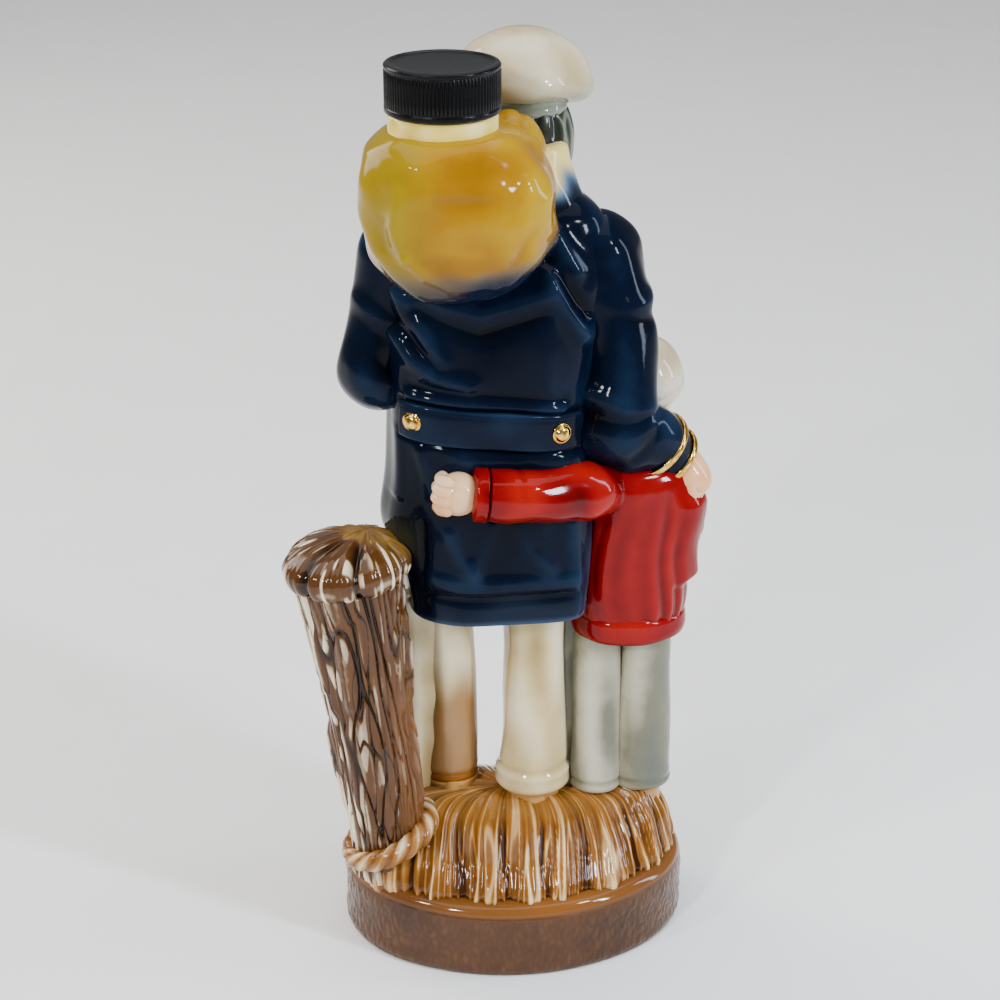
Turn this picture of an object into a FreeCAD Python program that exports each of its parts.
"""Figural liquor decanter: an adult in a sea coat with a bag on the shoulder, a boy and a mooring post.

Hollow cast sections luted together on an oval base, with applied sprigs, a threaded pouring neck on top
of the bag and a plastic screw cap. Millimetres, +Z up, the figures face -Y, and the origin is the middle
of the base's underside. Left and right are the figures' own: the adult's left is +X.
"""
import FreeCAD
import Part
import math
import os
from FreeCAD import Matrix, Rotation, Vector

# Base and ground
plinth_half_width = 62.0
plinth_half_depth = 47.0
plinth_height = 28.0
plinth_edge_round = 5.0
plinth_foot_round = 2.0
plinth_wall = 8.0
plinth_floor = 6.0
ground_rise = 22.0
ground_top_half_width = 50.0
ground_top_half_depth = 17.0
ground_bulge = 4.0

# Casting
wall = 4.5
passage_radius = 7.0

# Mooring post
post_foot_x = 45.5
post_foot_y = 13.0
post_length = 113.0
post_lean = 6.5
post_foot_radius = 14.0
post_middle_radius = 15.3
post_neck_radius = 19.2
post_head_radius = 21.8
post_head_edge = 7.0
post_head_height = 15.5
web_thickness = 8.0
web_y = -4.0
rope_radius = 3.4
rope_tilt = 25.0
rope_height = 10.0

# The adult's legs and shoes
trouser_length = 75.0
right_leg_x = -6.5
right_leg_y = 2.0
right_leg_radius = 11.6
left_leg_x = 22.5
left_leg_y = -8.0
left_leg_radius = 9.8
leg_taper = 0.6
leg_bore_radius = 5.5
shoe_heel_height = 6.0
shoe_half_width = 9.5
shoe_half_length = 21.0
shoe_height = 13.0
shoe_forward = 9.0

# Coat
coat_skirt_length = 77.0
coat_back_length = 56.0
coat_slope_height = 16.0
coat_x = 7.0
coat_hem_half_width = 30.5
coat_hem_half_depth = 23.5
coat_hip_half_width = 34.0
coat_hip_half_depth = 24.5
coat_waist_half_width = 34.0
coat_waist_half_depth = 24.0
coat_chest_half_width = 36.0
coat_chest_half_depth = 25.0
coat_shoulder_half_width = 33.0
coat_shoulder_half_depth = 19.0
coat_neck_half_width = 13.0
coat_neck_half_depth = 11.5
coat_neck_x = -5.0
coat_neck_y = -6.0
coat_squareness = 2.5
belt_width = 12.5
belt_thickness = 1.5
belt_half_length = 31.0
belt_rise = -0.5
belt_tilt = 5.5
belt_x = 11.5
button_radius = 3.6
belt_button_spread = 25.0
front_button_rows = 3
front_button_pitch = 18.0
front_button_spread = 10.0
collar_height = 15.0
collar_half_width = 19.0
collar_half_depth = 15.0

# Sleeves and hands of the adult
sleeve_shoulder_radius = 15.0
sleeve_elbow_radius = 13.0
sleeve_cuff_radius = 10.6
right_shoulder_x = -28.0
right_elbow_x = -38.0
right_elbow_y = 8.0
right_elbow_drop = 56.0
right_wrist_x = -57.0
right_wrist_y = 1.0
left_shoulder_x = 37.0
left_elbow_x = 47.5
left_elbow_drop = 37.0
left_wrist_x = 35.0
left_wrist_y = -30.0
left_wrist_drop = 24.0
shoulder_drop = 6.0
stripe_width = 2.2
stripe_relief = 0.5
stripe_pitch = 5.5
palm_radius = 7.0
finger_radius = 5.2
hand_length = 15.0
fist_radius = 8.2

# Head and cap of the adult
head_x = -6.0
head_y = -18.0
head_rise = 14.0
head_half_width = 13.6
head_half_depth = 15.5
head_half_height = 19.0
hair_thickness = 1.6
beard_half_width = 10.5
beard_half_height = 13.0
cap_band_height = 6.0
cap_band_thickness = 1.8
cap_crown_half_width = 21.5
cap_crown_half_depth = 23.0
cap_crown_height = 25.0
cap_crown_underside = 8.0
visor_reach = 12.0
visor_thickness = 2.4
visor_tilt = 14.0

# Bag and pouring neck
bag_half_width = 31.3
bag_half_depth = 27.0
bag_half_height = 27.0
bag_top_half_width = 21.0
bag_bottom_half_width = 12.0
bag_squareness = 2.2
bag_x = 20.6
bag_y = 27.0
bag_rise = 19.5
fold_half_width = 12.0
fold_half_depth = 14.0
fold_half_height = 12.0
fold_x = -1.0
fold_y = 11.0
fold_rise = 13.5
gather_radius = 10.0
gather_end_radius = 5.0
neck_x = 26.0
neck_y = 28.0
neck_height = 43.0
neck_length = 26.0
neck_collar_radius = 17.2
neck_bore_radius = 10.5

# Thread and screw cap
thread_root_radius = 14.65
thread_depth = 1.25
thread_root_width = 1.9
thread_crest_width = 0.9
thread_pitch = 3.175
thread_turns = 1.5
thread_below_lip = 3.4
thread_clearance = 0.35
thread_embed = 0.4
cap_skirt = 11.0
cap_wall = 1.95
cap_top = 2.6
cap_edge_round = 0.8
cap_bead_height = 2.2
cap_rim_height = 1.6
cap_rib_depth = 0.45
cap_rib_count = 90
cap_foot_gap = 0.4
liner_thickness = 1.6
liner_clearance = 0.4

# Boy
boy_x = -40.5
boy_y = 2.0
boy_leg_length = 65.5
boy_torso_length = 60.5
boy_neck_height = 11.0
sweater_hem_height = 8.0
sweater_hem_half_width = 20.0
sweater_hem_half_depth = 16.0
sweater_half_width = 19.0
sweater_half_depth = 15.3
sweater_shoulder_half_width = 17.0
sweater_shoulder_half_depth = 13.5
sweater_neck_half_width = 9.0
boy_lean = -4.0
boy_sleeve_radius = 9.2
boy_cuff_radius = 8.8
boy_cuff_length = 5.0
boy_left_shoulder_x = -33.0
boy_left_shoulder_y = 9.0
boy_left_elbow_x = -9.0
boy_left_wrist_x = 16.0
boy_arm_set_in = 2.0
boy_right_shoulder_x = -57.0
boy_right_elbow_x = -59.0
boy_right_elbow_drop = 33.0
boy_right_wrist_x = -45.0
boy_right_wrist_y = -24.0
boy_fist_radius = 7.6
boy_head_x = -46.0
boy_head_y = -13.0
boy_head_half_width = 12.0
boy_head_half_depth = 13.0
boy_head_half_height = 15.0
boy_cap_thickness = 1.8
boy_cap_rise = 3.0
boy_left_leg_x = -29.7
boy_right_leg_x = -48.3
boy_leg_y = 2.5
boy_leg_radius = 8.2
boy_leg_taper = 0.6
boy_heel_height = 4.0
boy_shoe_half_width = 7.6
boy_shoe_half_length = 15.0
boy_shoe_height = 9.0
boy_shoe_forward = 7.0

# Heights that follow from the lengths above
ground_z = plinth_height + ground_rise
hem_z = ground_z + trouser_length
waist_z = hem_z + coat_skirt_length
shoulder_z = waist_z + coat_back_length
neck_z = shoulder_z + coat_slope_height
boy_hem_z = ground_z + boy_leg_length
boy_shoulder_z = boy_hem_z + boy_torso_length
bag_z = shoulder_z + bag_rise
lip_z = bag_z + neck_height
cap_bottom_z = lip_z - cap_skirt
cap_inside_radius = thread_root_radius + thread_depth + thread_clearance
cap_outside_radius = cap_inside_radius + cap_wall
head_at = Vector(head_x, head_y, neck_z + head_rise)
bag_at = Vector(bag_x, bag_y, bag_z)
band_z = head_at.z + head_half_height * 0.35
boy_head_at = Vector(boy_head_x, boy_head_y, boy_shoulder_z + boy_neck_height + boy_head_half_height)


# Small helpers

def oval(x, y, z, half_width, half_depth, squareness=2.0):
    """A closed smooth outline at height z, an ellipse or a squarer oval."""
    points = []
    for step in range(16):
        angle = 2 * math.pi * step / 16
        across = math.cos(angle)
        along = math.sin(angle)
        across = math.copysign(abs(across) ** (2 / squareness), across)
        along = math.copysign(abs(along) ** (2 / squareness), along)
        points.append(Vector(x + half_width * across, y + half_depth * along, z))
    curve = Part.BSplineCurve()
    curve.interpolate(Points=points, PeriodicFlag=True)
    return Part.Wire([curve.toShape()])


def slopes(heights, values):
    """Slopes at each height for a smooth curve through the values that never overshoots them."""
    steps = list(zip(heights, heights[1:], values, values[1:]))
    rises = [(value_b - value_a) / (height_b - height_a) for height_a, height_b, value_a, value_b in steps]
    inner = [0 if below * above <= 0 else 2 * below * above / (below + above)
             for below, above in zip(rises, rises[1:])]
    return rises[:1] + inner + rises[-1:]


def curve_value(heights, values, height):
    """The value at a height on that smooth curve."""
    span = max(index for index in range(len(heights) - 1) if heights[index] <= height + 1e-9)
    slope = slopes(heights, values)
    gap = heights[span + 1] - heights[span]
    share = (height - heights[span]) / gap
    start = values[span] * (1 + 2 * share) * (1 - share) ** 2 + slope[span] * gap * share * (1 - share) ** 2
    end = values[span + 1] * share ** 2 * (3 - 2 * share) + slope[span + 1] * gap * share ** 2 * (share - 1)
    return start + end


def stack(sections, squareness=2.0, count=9):
    """A smooth solid through ovals given as (x, y, z, half width, half depth), from the lowest up."""
    columns = list(zip(*sections))
    heights = columns[2]
    rings = []
    for index in range(count):
        height = heights[0] + (heights[-1] - heights[0]) * index / (count - 1)
        x, y, z, width, depth = [curve_value(heights, column, height) for column in columns]
        rings.append(oval(x, y, z, width, depth, squareness))
    return Part.makeLoft(rings, True, False)


def ellipsoid(centre, half_x, half_y, half_z):
    scale = Matrix()
    scale.scale(half_x, half_y, half_z)
    shape = Part.makeSphere(1.0).transformGeometry(scale)
    shape.translate(centre)
    return shape


def taper(start, end, start_radius, end_radius):
    """A round tapered bar from start to end."""
    along = end - start
    if abs(start_radius - end_radius) < 1e-6:
        return Part.makeCylinder(start_radius, along.Length, start, along)
    return Part.makeCone(start_radius, end_radius, along.Length, start, along)


def bent_arm(shoulder, elbow, wrist, shoulder_radius, elbow_radius, cuff_radius):
    """Two tapered bars with a ball at the shoulder and at the elbow."""
    upper = taper(shoulder, elbow, shoulder_radius, elbow_radius * 0.97)
    lower = taper(elbow, wrist, elbow_radius * 0.97, cuff_radius)
    ends = [lower, Part.makeSphere(elbow_radius, elbow), Part.makeSphere(shoulder_radius * 1.02, shoulder)]
    return upper.multiFuse(ends).removeSplitter()


def mitten(wrist, tips, wrist_radius, tip_radius):
    """A hand as one tapered form with rounded fingertips."""
    return taper(wrist, tips, wrist_radius, tip_radius).fuse(Part.makeSphere(tip_radius * 1.03, tips))


def slab(low_z, high_z, low_y=-400.0, high_y=400.0):
    """A wide block used to keep the part of a shape between two heights."""
    return Part.makeBox(800, high_y - low_y, high_z - low_z, Vector(-400, low_y, low_z))


def spun(profile, centre):
    """A solid of revolution about a vertical axis from (radius, height) points."""
    points = [Vector(radius, 0, height) for radius, height in profile]
    face = Part.Face(Part.makePolygon(points + points[:1]))
    shape = face.revolve(Vector(0, 0, 0), Vector(0, 0, 1), 360)
    shape.translate(centre)
    return shape


def main_body(shape):
    """The largest solid of a shape, without the crumbs that a cut can leave."""
    return max(shape.Solids, key=lambda solid: solid.Volume)


def surface_y(solid, x, z, side):
    """Where a line along Y at (x, z) leaves the solid: side is +1 for the back and -1 for the front."""
    line = Part.makeLine(Vector(x, -300, z), Vector(x, 300, z))
    inside = solid.common(line)
    return max((vertex.Y for vertex in inside.Vertexes), key=lambda y: side * y)


# Base, ground and post

def plinth():
    outline = Part.Ellipse(Vector(0, 0, 0), plinth_half_width, plinth_half_depth)
    block = Part.Face(Part.Wire([outline.toShape()])).extrude(Vector(0, 0, plinth_height))
    top = [edge for edge in block.Edges if edge.BoundBox.ZMin > plinth_height - 0.01]
    foot = [edge for edge in block.Edges if edge.BoundBox.ZMax < 0.01]
    return block.makeFillet(plinth_edge_round, top).makeFillet(plinth_foot_round, foot)


def plinth_core():
    outline = Part.Ellipse(Vector(0, 0, plinth_floor), plinth_half_width - plinth_wall,
                           plinth_half_depth - plinth_wall)
    return Part.Face(Part.Wire([outline.toShape()])).extrude(Vector(0, 0, plinth_height - plinth_floor))


def mound(inset=0.0):
    """The ground, or with an inset the hollow inside it."""
    foot_width = plinth_half_width - plinth_edge_round
    foot_depth = plinth_half_depth - plinth_edge_round
    sections = []
    for share in (0.0, 0.35, 0.7, 1.0):
        swell = ground_bulge * math.sin(math.pi * share)
        width = foot_width + (ground_top_half_width - foot_width) * share + swell * 0.4
        depth = foot_depth + (ground_top_half_depth - foot_depth) * share + swell
        height = plinth_height + (ground_rise - inset) * share
        sections.append((0, 0, height, width - inset, depth - inset))
    return stack(sections)


def post_point(length):
    """A point on the leaning axis of the post, measured from its foot."""
    lean = math.radians(post_lean)
    foot_z = plinth_height + 4
    return Vector(post_foot_x + length * math.sin(lean), post_foot_y, foot_z + length * math.cos(lean))


def post(inset=0.0):
    """The leaning post, or with an inset the hollow inside it."""
    turn = Rotation(Vector(0, 1, 0), post_lean)
    rings = []
    shares = ((0.0, post_foot_radius), (0.3, post_foot_radius), (0.65, post_middle_radius),
              (1.0, post_neck_radius))
    for share, radius in shares:
        ring = Part.Circle(post_point((post_length - inset) * share), turn.multVec(Vector(0, 0, 1)),
                           radius - inset)
        rings.append(Part.Wire([ring.toShape()]))
    return Part.makeLoft(rings, True, False)


def post_cap():
    """The mushroom head: a low dome over a rounded edge, square to the post's axis."""
    edge = post_head_edge
    dome = Part.Arc(Vector(0, 0, post_head_height),
                    Vector(post_head_radius * 0.68, 0, edge + (post_head_height - edge) * 0.66),
                    Vector(post_head_radius, 0, edge)).toShape()
    under = Part.makePolygon([Vector(post_head_radius, 0, edge), Vector(post_neck_radius, 0, 0),
                              Vector(0, 0, 0), Vector(0, 0, post_head_height)])
    face = Part.Face(Part.Wire([dome] + under.Edges))
    head = face.revolve(Vector(0, 0, 0), Vector(0, 0, 1), 360)
    head.rotate(Vector(0, 0, 0), Vector(0, 1, 0), post_lean)
    head.translate(post_point(post_length))
    return head


def post_web():
    right = post_foot_x + post_foot_radius * 0.5
    return Part.makeBox(right - left_leg_x, web_thickness, hem_z - plinth_height,
                        Vector(left_leg_x, web_y - web_thickness / 2, plinth_height))


def rope():
    """One moulded turn of rope round the post's foot, lower on the outer side."""
    turn = Part.makeTorus(post_foot_radius + rope_radius * 0.45, rope_radius)
    turn.rotate(Vector(0, 0, 0), Vector(0, 1, 0), rope_tilt)
    turn.translate(post_point(rope_height))
    return turn


# The adult's lower half

def leg(x, y, radius, top, taper_in, heel_height):
    foot = Vector(x, y, ground_z - ground_rise / 2)
    bar = taper(foot, Vector(x, y, top), radius + taper_in, radius)
    return bar.common(slab(ground_z + heel_height, top))


def shoe(x, y, forward, half_width, half_length, height, top):
    """A domed shoe, flat at its top where the trouser leg stands on the heel."""
    dome = ellipsoid(Vector(x, y - forward, ground_z), half_width, half_length, height)
    heel = Part.makeCylinder(half_width, ground_rise / 2 + top, Vector(x, y, ground_z - ground_rise / 2))
    return dome.fuse(heel).common(slab(ground_z - ground_rise / 2, ground_z + height)).removeSplitter()


# Coat

def coat_sections(inset=0.0):
    hip_z = (hem_z + waist_z) / 2
    chest_z = (waist_z + shoulder_z) / 2
    chest_top_z = chest_z + (shoulder_z - chest_z) * 0.6
    slope_z = shoulder_z + (neck_z - shoulder_z) * 0.6
    sections = [
        (coat_x, 0, hem_z, coat_hem_half_width, coat_hem_half_depth),
        (coat_x + 1, 0, hip_z, coat_hip_half_width, coat_hip_half_depth),
        (coat_x + 2, 0, waist_z, coat_waist_half_width, coat_waist_half_depth),
        (coat_x + 2, -1, chest_z, coat_chest_half_width, coat_chest_half_depth),
        (coat_x, -2, chest_top_z, coat_chest_half_width + 1, coat_chest_half_depth - 2),
        (coat_x - 4, -3, shoulder_z, coat_shoulder_half_width, coat_shoulder_half_depth),
        (coat_neck_x + 2, coat_neck_y + 2, slope_z, (coat_shoulder_half_width + coat_neck_half_width) / 2,
         (coat_shoulder_half_depth + coat_neck_half_depth) / 2),
        (coat_neck_x, coat_neck_y, neck_z, coat_neck_half_width, coat_neck_half_depth),
    ]
    return [(x, y, z, width - inset, depth - inset) for x, y, z, width, depth in sections]


def coat():
    return stack(coat_sections(), coat_squareness, 14)


def coat_core():
    """The hollow of the coat: its sections drawn in by the wall, closed below and at the shoulders."""
    sections = coat_sections(wall)[:-1]
    x, y, z, width, depth = sections[0]
    sections[0] = (x, y, hem_z + wall, width, depth)
    return stack(sections, coat_squareness, 13)


def belt_height(x):
    """The height of the belt's middle at x: it hangs a little lower on the right."""
    return waist_z + belt_rise + (x - belt_x) * math.tan(math.radians(belt_tilt))


def half_belt(body):
    """A band that follows the coat's back at the waist, standing proud of it by the belt's thickness."""
    grow = Matrix()
    grow.scale(1 + belt_thickness / coat_waist_half_width, 1 + belt_thickness / coat_waist_half_depth, 1)
    around = Vector(coat_x + 2, 0, 0)
    proud = body.translated(-around).transformGeometry(grow).translated(around)
    band = Part.makeBox(2 * belt_half_length, 100, belt_width, Vector(-belt_half_length, 0, -belt_width / 2))
    band.rotate(Vector(0, 0, 0), Vector(0, 1, 0), -belt_tilt)
    band.translate(Vector(belt_x, 0, belt_height(belt_x)))
    return main_body(proud.common(band).cut(body))


def belt_buttons(body):
    buttons = []
    for side in (-1, 1):
        x = belt_x + side * belt_button_spread
        y = surface_y(body, x, belt_height(x), 1) + belt_thickness * 0.8
        buttons.append(ellipsoid(Vector(x, y, belt_height(x)), button_radius, button_radius * 0.7, button_radius))
    return buttons


def front_buttons(body):
    """Two columns of buttons down the double-breasted front."""
    buttons = []
    for row in range(front_button_rows):
        for side in (-1, 1):
            x = coat_x + side * front_button_spread
            z = waist_z + (row - 0.5) * front_button_pitch
            y = surface_y(body, x, z, -1)
            buttons.append(ellipsoid(Vector(x, y, z), button_radius, button_radius * 0.6, button_radius))
    return buttons


def collar():
    low = neck_z - coat_slope_height * 0.7
    high = neck_z + collar_height
    return stack([
        (coat_neck_x, coat_neck_y + 2, low, collar_half_width, collar_half_depth),
        (coat_neck_x, coat_neck_y + 1, (low + high) / 2, collar_half_width * 0.86, collar_half_depth * 0.92),
        (coat_neck_x, coat_neck_y - 2, high, collar_half_width * 0.66, collar_half_depth * 0.82),
    ])


# Sleeves and hands

right_shoulder_at = Vector(right_shoulder_x, -3, shoulder_z - shoulder_drop)
right_elbow_at = Vector(right_elbow_x, right_elbow_y, right_shoulder_at.z - right_elbow_drop)
right_wrist_at = Vector(right_wrist_x, right_wrist_y, boy_shoulder_z + 2)
left_shoulder_at = Vector(left_shoulder_x, -3, shoulder_z - shoulder_drop)
left_elbow_at = Vector(left_elbow_x, -2, left_shoulder_at.z - left_elbow_drop)
left_wrist_at = Vector(left_wrist_x, left_wrist_y, shoulder_z - left_wrist_drop)
left_hand_at = left_wrist_at + (left_wrist_at - left_elbow_at).normalize() * fist_radius * 0.8
right_hand_at = right_wrist_at + Vector(-0.35, -0.35, -0.87) * hand_length


def sleeve(shoulder, elbow, wrist):
    return bent_arm(shoulder, elbow, wrist, sleeve_shoulder_radius, sleeve_elbow_radius, sleeve_cuff_radius)


def cuff_stripes(neighbours):
    """Two thin gilt rings round the right forearm, standing proud of the sleeve."""
    along = (right_wrist_at - right_elbow_at).normalize()
    rings = []
    for index in range(2):
        middle = right_wrist_at - along * (stripe_pitch * (index + 0.75))
        start = middle - along * (stripe_width / 2)
        share = (middle - right_elbow_at).Length / (right_wrist_at - right_elbow_at).Length
        radius = sleeve_elbow_radius * 0.97 + (sleeve_cuff_radius - sleeve_elbow_radius * 0.97) * share
        ring = Part.makeCylinder(radius + stripe_relief, stripe_width, start, along)
        for neighbour in neighbours:
            ring = main_body(ring.cut(neighbour))
        rings.append(ring)
    return rings


# Head and cap of the adult

def adult_head():
    return ellipsoid(head_at, head_half_width, head_half_depth, head_half_height)


def hair():
    """A shell round the back of the head, between the collar and the cap's band."""
    grown = ellipsoid(head_at, head_half_width + hair_thickness, head_half_depth + hair_thickness,
                      head_half_height + hair_thickness)
    return grown.common(slab(head_at.z - head_half_height, band_z, head_at.y, 400))


def beard():
    chin = head_at + Vector(0, -head_half_depth * 0.55, -head_half_height * 0.62)
    return ellipsoid(chin, beard_half_width, beard_half_width * 0.8, beard_half_height)


def band_radii(grow):
    """Half width and half depth of the head at the middle of the band, plus a thickness."""
    share = math.sqrt(1 - ((band_z + cap_band_height / 2 - head_at.z) / head_half_height) ** 2)
    return head_half_width * share + grow, head_half_depth * share + grow


def cap_band():
    width, depth = band_radii(cap_band_thickness + hair_thickness)
    return stack([(head_at.x, head_at.y, band_z, width, depth),
                  (head_at.x, head_at.y, band_z + cap_band_height, width, depth)], count=2)


def cap_crown():
    low = band_z + cap_band_height
    middle = Vector(head_at.x, head_at.y, low + cap_crown_underside)
    dome = ellipsoid(middle, cap_crown_half_width, cap_crown_half_depth, cap_crown_height - cap_crown_underside)
    return dome.common(slab(low, low + 2 * cap_crown_height))


def cap_visor():
    width, depth = band_radii(cap_band_thickness + hair_thickness)
    front = head_at.y - depth
    plate = stack([
        (head_at.x, front + 4, band_z, width, visor_reach + 4),
        (head_at.x, front + 4, band_z + visor_thickness, width, visor_reach + 4),
    ], count=2)
    plate.rotate(Vector(head_at.x, front, band_z), Vector(1, 0, 0), visor_tilt)
    return plate.common(slab(0, 1000, -400, head_at.y))


# Bag, neck and closure

def bag(inset=0.0):
    """The full bag with broad shoulders under the neck, or with an inset the hollow inside it."""
    lean = neck_x - bag_x
    flat = bag_half_depth / bag_half_width
    shares = ((-1.0, bag_bottom_half_width / bag_half_width), (-0.88, 0.62), (-0.6, 0.86), (-0.2, 0.985),
              (0.15, 1.0), (0.5, 0.96), (0.78, 0.86), (1.0, bag_top_half_width / bag_half_width))
    sections = []
    for height, width in shares:
        half_width = bag_half_width * width - inset
        half_depth = bag_half_width * width * (flat + (1 - flat) * max(height, 0)) - inset
        sections.append((bag_x + lean * max(height, 0) * 0.6, bag_y, bag_z + (bag_half_height - inset) * height,
                         half_width, half_depth))
    return stack(sections, bag_squareness, 13)


def bag_fold():
    centre = Vector(fold_x, fold_y, bag_z + fold_rise)
    return ellipsoid(centre, fold_half_width, fold_half_depth, fold_half_height)


def bag_gather():
    """The gathered mouth of the bag, drawn over the left shoulder into the left hand."""
    start = bag_at + Vector(bag_half_width * 0.3, -bag_half_depth * 0.6, 0)
    return taper(start, left_hand_at, gather_radius, gather_end_radius)


def thread(root_radius, crest_radius, root_width, crest_width, low_z):
    """A helical ridge of trapezium section on a vertical axis, sunk a little into its wall."""
    helix = Part.makeHelix(thread_pitch, thread_pitch * thread_turns, root_radius)
    out = math.copysign(1, crest_radius - root_radius)
    root = root_radius - out * thread_embed
    profile = Part.makePolygon([
        Vector(root, 0, -root_width / 2), Vector(crest_radius, 0, -crest_width / 2),
        Vector(crest_radius, 0, crest_width / 2), Vector(root, 0, root_width / 2),
        Vector(root, 0, -root_width / 2),
    ])
    ridge = Part.Wire(helix).makePipeShell([profile], True, True)
    ridge.translate(Vector(neck_x, neck_y, low_z))
    return ridge


def neck_thread_z():
    return lip_z - thread_below_lip - thread_pitch * thread_turns


def neck_outside():
    """The neck without its bore: a wide collar set into the bag and the narrower finish above it."""
    low = Vector(neck_x, neck_y, lip_z - neck_length)
    collar_top = cap_bottom_z - cap_foot_gap
    collar_part = Part.makeCylinder(neck_collar_radius, collar_top - low.z, low)
    finish = Part.makeCylinder(thread_root_radius, neck_length, low)
    return collar_part.fuse(finish)


def neck():
    ridge = thread(thread_root_radius, thread_root_radius + thread_depth, thread_root_width,
                   thread_crest_width, neck_thread_z())
    bore = Part.makeCylinder(neck_bore_radius, neck_length + 2, Vector(neck_x, neck_y, lip_z - neck_length - 1))
    return neck_outside().fuse(ridge).cut(bore)


def cap_ribs(low, high):
    """The ribbed grip: a ring whose outline steps in and out once for each rib."""
    crest = cap_outside_radius - 0.05
    groove = cap_outside_radius - cap_rib_depth
    points = []
    for rib in range(cap_rib_count):
        for share, radius in ((0.0, crest), (0.4, crest), (0.55, groove), (0.85, groove)):
            angle = 2 * math.pi * (rib + share) / cap_rib_count
            points.append(Vector(radius * math.cos(angle), radius * math.sin(angle), low))
    face = Part.Face(Part.makePolygon(points + points[:1]))
    ring = face.extrude(Vector(0, 0, high - low))
    hole = Part.makeCylinder(cap_inside_radius + cap_wall * 0.4, high - low, Vector(0, 0, low))
    return ring.cut(hole).translated(Vector(neck_x, neck_y, 0))


def screw_cap():
    inside_top = lip_z + liner_thickness
    top = inside_top + cap_top
    waist = cap_outside_radius - cap_rib_depth * 1.5
    rib_low = cap_bottom_z + cap_bead_height
    rib_high = top - cap_rim_height
    shell = spun([
        (cap_inside_radius, cap_bottom_z), (cap_outside_radius, cap_bottom_z),
        (cap_outside_radius, rib_low), (waist, rib_low), (waist, rib_high),
        (cap_outside_radius, rib_high), (cap_outside_radius, top - cap_edge_round),
        (cap_outside_radius - cap_edge_round, top), (0, top), (0, inside_top), (cap_inside_radius, inside_top),
    ], Vector(neck_x, neck_y, 0))
    ridge = thread(cap_inside_radius, thread_root_radius + thread_clearance, thread_root_width,
                   thread_crest_width, neck_thread_z() - thread_pitch / 2)
    return shell.fuse(cap_ribs(rib_low, rib_high)).fuse(ridge)


def cap_liner():
    return Part.makeCylinder(cap_inside_radius - liner_clearance, liner_thickness, Vector(neck_x, neck_y, lip_z))


# Boy

def sweater_sections(inset=0.0):
    low = boy_hem_z + sweater_hem_height
    middle = (low + boy_shoulder_z) / 2
    sections = [
        (boy_x, boy_y, low, sweater_half_width, sweater_half_depth),
        (boy_x - 0.5, boy_y, middle, sweater_half_width, sweater_half_depth),
        (boy_x + boy_lean * 0.7, boy_y - 1, boy_shoulder_z - 12, sweater_half_width, sweater_half_depth),
        (boy_x + boy_lean, boy_y - 3, boy_shoulder_z, sweater_shoulder_half_width, sweater_shoulder_half_depth),
        (boy_head_x, boy_head_y + 6, boy_shoulder_z + boy_neck_height, sweater_neck_half_width,
         sweater_neck_half_width),
    ]
    return [(x, y, z, width - inset, depth - inset) for x, y, z, width, depth in sections]


def sweater():
    return stack(sweater_sections(), 2.3)


def sweater_core():
    sections = sweater_sections(wall)[:-1]
    x, y, z, width, depth = sections[0]
    sections[0] = (x, y, boy_hem_z + sweater_hem_height + wall, width, depth)
    return stack(sections, 2.3)


def sweater_hem():
    return stack([
        (boy_x, boy_y, boy_hem_z, sweater_hem_half_width - 0.6, sweater_hem_half_depth - 0.6),
        (boy_x, boy_y, boy_hem_z + sweater_hem_height * 0.5, sweater_hem_half_width, sweater_hem_half_depth),
        (boy_x, boy_y, boy_hem_z + sweater_hem_height, sweater_hem_half_width - 0.6,
         sweater_hem_half_depth - 0.6),
    ], 2.3)


def boy_left_arm_points(body):
    """Shoulder, elbow and wrist of the arm that lies across the back of the coat."""
    shoulder = Vector(boy_left_shoulder_x, boy_left_shoulder_y, boy_shoulder_z - 3)
    points = [shoulder]
    for x, rise in ((boy_left_elbow_x, 4.0), (boy_left_wrist_x, 6.0)):
        z = shoulder.z + rise
        points.append(Vector(x, surface_y(body, x, z, 1) + boy_arm_set_in, z))
    return points


boy_right_shoulder_at = Vector(boy_right_shoulder_x, -3, boy_shoulder_z - 10)
boy_right_elbow_at = Vector(boy_right_elbow_x, -9, boy_shoulder_z - boy_right_elbow_drop)
boy_right_wrist_at = Vector(boy_right_wrist_x, boy_right_wrist_y, boy_right_elbow_at.z + 5)
boy_right_hand_at = boy_right_wrist_at + (boy_right_wrist_at - boy_right_elbow_at).normalize() * boy_fist_radius * 0.7


def boy_cap():
    """A close knitted cap: a shell over the head above a plane that falls towards the nape."""
    grown = ellipsoid(boy_head_at + Vector(0, 1, boy_cap_rise), boy_head_half_width + boy_cap_thickness,
                      boy_head_half_depth + boy_cap_thickness, boy_head_half_height - 0.5)
    keep = Part.makeBox(200, 200, 100, Vector(-100, -100, 0))
    keep.rotate(Vector(0, 0, 0), Vector(1, 0, 0), -25)
    keep.translate(boy_head_at)
    return grown.common(keep)


# Assembly

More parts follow.
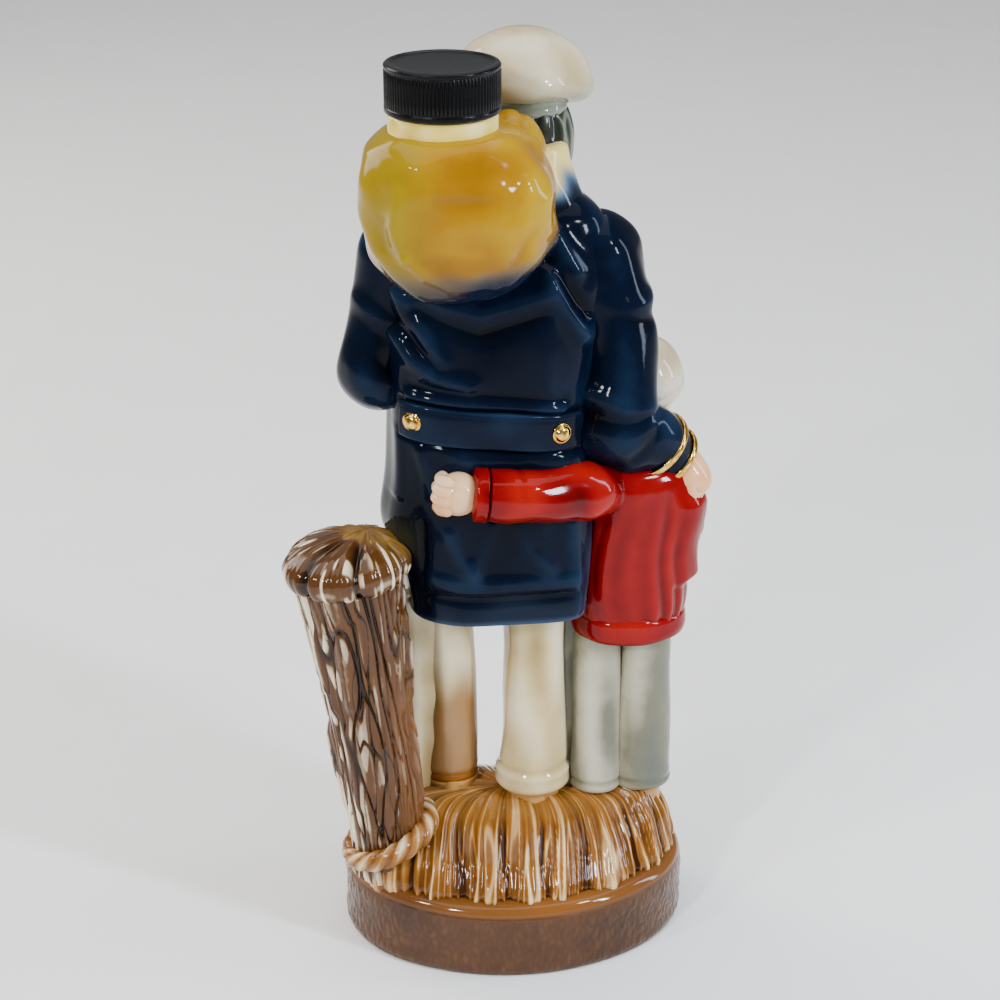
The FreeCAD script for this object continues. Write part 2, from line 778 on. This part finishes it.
def outer_solids():
    """Every cast piece as a filled solid, with the earlier pieces that it is luted against."""
    body = coat()
    heel = shoe_heel_height
    shoulder, elbow, wrist = boy_left_arm_points(body)
    along = (wrist - elbow).normalize()
    left_hand = wrist + along * (boy_cuff_length + boy_fist_radius * 0.6)
    boy_heel = boy_heel_height
    boy_shoe_sizes = (boy_shoe_forward, boy_shoe_half_width, boy_shoe_half_length, boy_shoe_height, boy_heel)
    shoe_sizes = (shoe_forward, shoe_half_width, shoe_half_length, shoe_height, heel)
    return [
        ("base_plinth", plinth(), ()),
        ("ground_mound", mound(), ()),
        ("captain_coat", body, ()),
        ("captain_left_leg", leg(left_leg_x, left_leg_y, left_leg_radius, hem_z, leg_taper, heel), ()),
        ("captain_right_leg", leg(right_leg_x, right_leg_y, right_leg_radius, hem_z, leg_taper, heel), ()),
        ("captain_left_shoe", shoe(left_leg_x, left_leg_y, *shoe_sizes), ("ground_mound", "captain_left_leg")),
        ("captain_right_shoe", shoe(right_leg_x, right_leg_y, *shoe_sizes),
         ("ground_mound", "captain_right_leg")),
        ("captain_head", adult_head(), ("captain_coat",)),
        ("captain_cap_band", cap_band(), ("captain_head",)),
        ("captain_cap_crown", cap_crown(), ("captain_head",)),
        ("captain_cap_visor", cap_visor(), ("captain_head", "captain_cap_band", "captain_cap_crown")),
        ("coat_collar", collar(), ("captain_coat", "captain_head")),
        ("captain_hair", hair(), ("captain_coat", "captain_head", "coat_collar")),
        ("captain_beard", beard(), ("captain_coat", "captain_head", "coat_collar")),
        ("pouring_neck", neck_outside(), ()),
        ("sea_bag", bag(), ("captain_coat", "coat_collar", "captain_hair", "pouring_neck")),
        ("bag_fold", bag_fold(), ("captain_coat", "captain_head", "captain_cap_band", "captain_cap_crown",
                                  "coat_collar", "captain_hair", "pouring_neck", "sea_bag")),
        ("captain_right_sleeve", sleeve(right_shoulder_at, right_elbow_at, right_wrist_at),
         ("captain_coat", "coat_collar", "sea_bag")),
        ("captain_left_sleeve", sleeve(left_shoulder_at, left_elbow_at, left_wrist_at),
         ("captain_coat", "sea_bag")),
        ("captain_right_hand", mitten(right_wrist_at, right_hand_at, palm_radius, finger_radius),
         ("captain_right_sleeve",)),
        ("captain_left_hand", Part.makeSphere(fist_radius, left_hand_at), ("captain_coat", "captain_left_sleeve")),
        ("bag_gather", bag_gather(), ("captain_coat", "sea_bag", "captain_left_sleeve", "captain_left_hand")),
        ("sweater_hem", sweater_hem(), ("captain_coat",)),
        ("boy_sweater", sweater(), ("captain_coat", "captain_right_sleeve", "captain_right_hand")),
        ("boy_left_sleeve", bent_arm(shoulder, elbow, wrist, boy_sleeve_radius * 1.1, boy_sleeve_radius,
                                     boy_cuff_radius),
         ("captain_coat", "captain_right_sleeve", "boy_sweater")),
        ("boy_left_cuff", Part.makeCylinder(boy_cuff_radius + 0.5, boy_cuff_length, wrist, along),
         ("captain_coat",)),
        ("boy_left_hand", Part.makeSphere(boy_fist_radius, left_hand), ("captain_coat", "boy_left_cuff")),
        ("boy_right_sleeve", bent_arm(boy_right_shoulder_at, boy_right_elbow_at, boy_right_wrist_at,
                                      boy_sleeve_radius, boy_sleeve_radius * 0.85, boy_cuff_radius * 0.8),
         ("captain_right_sleeve", "captain_right_hand", "boy_sweater")),
        ("boy_right_hand", Part.makeSphere(boy_fist_radius, boy_right_hand_at), ("boy_sweater", "boy_right_sleeve")),
        ("boy_head", ellipsoid(boy_head_at, boy_head_half_width, boy_head_half_depth, boy_head_half_height),
         ("captain_right_sleeve", "boy_sweater")),
        ("boy_cap", boy_cap(), ("captain_right_sleeve", "boy_sweater", "boy_head")),
        ("boy_left_leg", leg(boy_left_leg_x, boy_leg_y, boy_leg_radius, boy_hem_z, boy_leg_taper, boy_heel),
         ("captain_right_leg",)),
        ("boy_right_leg", leg(boy_right_leg_x, boy_leg_y, boy_leg_radius, boy_hem_z, boy_leg_taper, boy_heel),
         ("boy_left_leg",)),
        ("boy_left_shoe", shoe(boy_left_leg_x, boy_leg_y, *boy_shoe_sizes),
         ("ground_mound", "captain_right_shoe", "boy_left_leg")),
        ("boy_right_shoe", shoe(boy_right_leg_x, boy_leg_y, *boy_shoe_sizes),
         ("ground_mound", "boy_left_shoe", "boy_right_leg")),
        ("mooring_post", post(), ("ground_mound", "captain_coat")),
        ("post_head", post_cap(), ("captain_coat", "captain_left_sleeve")),
        ("post_web", post_web(), ("ground_mound", "captain_left_leg", "captain_left_shoe", "mooring_post")),
        ("mooring_rope", rope(), ("base_plinth", "ground_mound", "captain_left_shoe", "mooring_post",
                                  "post_web")),
    ]


def give_way(pieces):
    """Cut each piece by its earlier neighbours, so that they meet face to face."""
    settled = {}
    for name, shape, neighbours in pieces:
        for neighbour in neighbours:
            shape = main_body(shape.cut(settled[neighbour]))
        settled[name] = shape
    return settled


def hollow_tools():
    """The liquor space: each hollow with the nodes that it is cut from."""
    passage_z = shoulder_z + 4
    boy_passage_z = (boy_hem_z + boy_shoulder_z) / 2
    coat_inside = coat_core()
    to_bag = Part.makeCylinder(passage_radius, bag_y + 4, Vector(bag_x - 3, -4, passage_z), Vector(0, 1, 0))
    to_boy = Part.makeCylinder(passage_radius, coat_x - boy_x, Vector(boy_x, boy_y, boy_passage_z),
                               Vector(1, 0, 0))
    tools = [
        (plinth_core(), ["base_plinth"]),
        (mound(wall), ["ground_mound"]),
        (coat_inside, ["captain_coat"]),
        (bag(wall), ["sea_bag"]),
        (to_bag, ["captain_coat", "sea_bag"]),
        (sweater_core(), ["boy_sweater"]),
        (to_boy, ["captain_coat", "boy_sweater"]),
        (post(wall), ["mooring_post", "ground_mound"]),
    ]
    for side, x, y in (("left", left_leg_x, left_leg_y), ("right", right_leg_x, right_leg_y)):
        bore = Part.makeCylinder(leg_bore_radius, hem_z + 2 * wall - plinth_height, Vector(x, y, plinth_height))
        tools.append((bore, ["captain_" + side + "_leg", "captain_" + side + "_shoe", "captain_coat",
                             "ground_mound"]))
    return tools


def build():
    parts = give_way(outer_solids())
    body = parts["captain_coat"]
    belt = half_belt(body)
    parts["coat_half_belt"] = belt
    parts["belt_buttons"] = Part.makeCompound([main_body(button.cut([body, belt])) for button in belt_buttons(body)])
    parts["coat_front_buttons"] = Part.makeCompound([main_body(button.cut(body)) for button in front_buttons(body)])
    round_cuff = ("captain_right_sleeve", "captain_right_hand", "boy_sweater", "boy_head", "boy_cap")
    parts["cuff_stripes"] = Part.makeCompound(cuff_stripes([parts[node] for node in round_cuff]))
    for tool, nodes in hollow_tools():
        for node in nodes:
            parts[node] = main_body(parts[node].cut(tool))
    parts["pouring_neck"] = neck()
    parts["screw_cap"] = screw_cap()
    parts["cap_liner"] = cap_liner()
    return parts


os.makedirs("parts", exist_ok=True)
for node, shape in build().items():
    if not shape.isValid():
        raise ValueError(node + " is not a valid solid")
    shape.exportStep("parts/" + node + ".step")
    print(node, len(shape.Solids), round(shape.Volume), [round(value, 1) for value in (
        shape.BoundBox.XMin, shape.BoundBox.XMax, shape.BoundBox.YMin, shape.BoundBox.YMax,
        shape.BoundBox.ZMin, shape.BoundBox.ZMax)])
